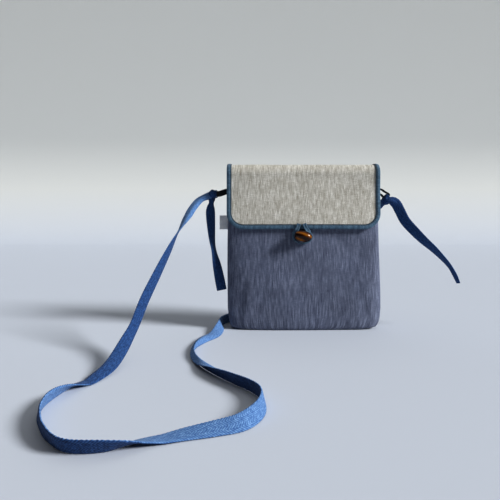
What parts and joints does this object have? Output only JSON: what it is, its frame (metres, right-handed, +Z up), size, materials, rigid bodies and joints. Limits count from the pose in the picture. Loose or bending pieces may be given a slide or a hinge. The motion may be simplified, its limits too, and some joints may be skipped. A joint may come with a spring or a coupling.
{
  "type": "phone bag",
  "caption": "Small upright cloth phone bag: hollow boxed pouch, bound linen flap closed by a tape loop round a bead, and a long flat tape strap knotted to a tab loop in each side seam.",
  "frame": {"origin": "middle of the pouch's flat base, on the floor", "axes": "+Z up; the flap's front and the bead face -Y; +X is to the right as seen from the front"},
  "size_m": [0.3698, 0.3273, 0.1821],
  "materials": {
    "pouch_cotton": "matt grey-blue woven cotton",
    "flap_linen": "undyed linen with vertical slubs",
    "binding_cotton": "folded slate-blue bias tape",
    "strap_cotton": "blue herringbone cotton tape",
    "tab_twill": "black twill tape",
    "tag_cotton": "off-white bare cotton",
    "shank_thread": "wound sewing thread",
    "bead_amber": "polished dark brown and amber"
  },
  "bodies": {
    "root": {"pouch": "pouch_cotton", "flap": "flap_linen", "flap_binding": "binding_cotton", "closure_loop": "binding_cotton", "bead_button": "bead_amber", "button_shank": "shank_thread", "side_tag": "tag_cotton", "tab_left": "tab_twill", "tab_right": "tab_twill", "knot_left": "strap_cotton", "knot_right": "strap_cotton", "strap": "strap_cotton", "strap_tail_left": "strap_cotton", "strap_tail_right": "strap_cotton"}
  },
  "joints": []
}
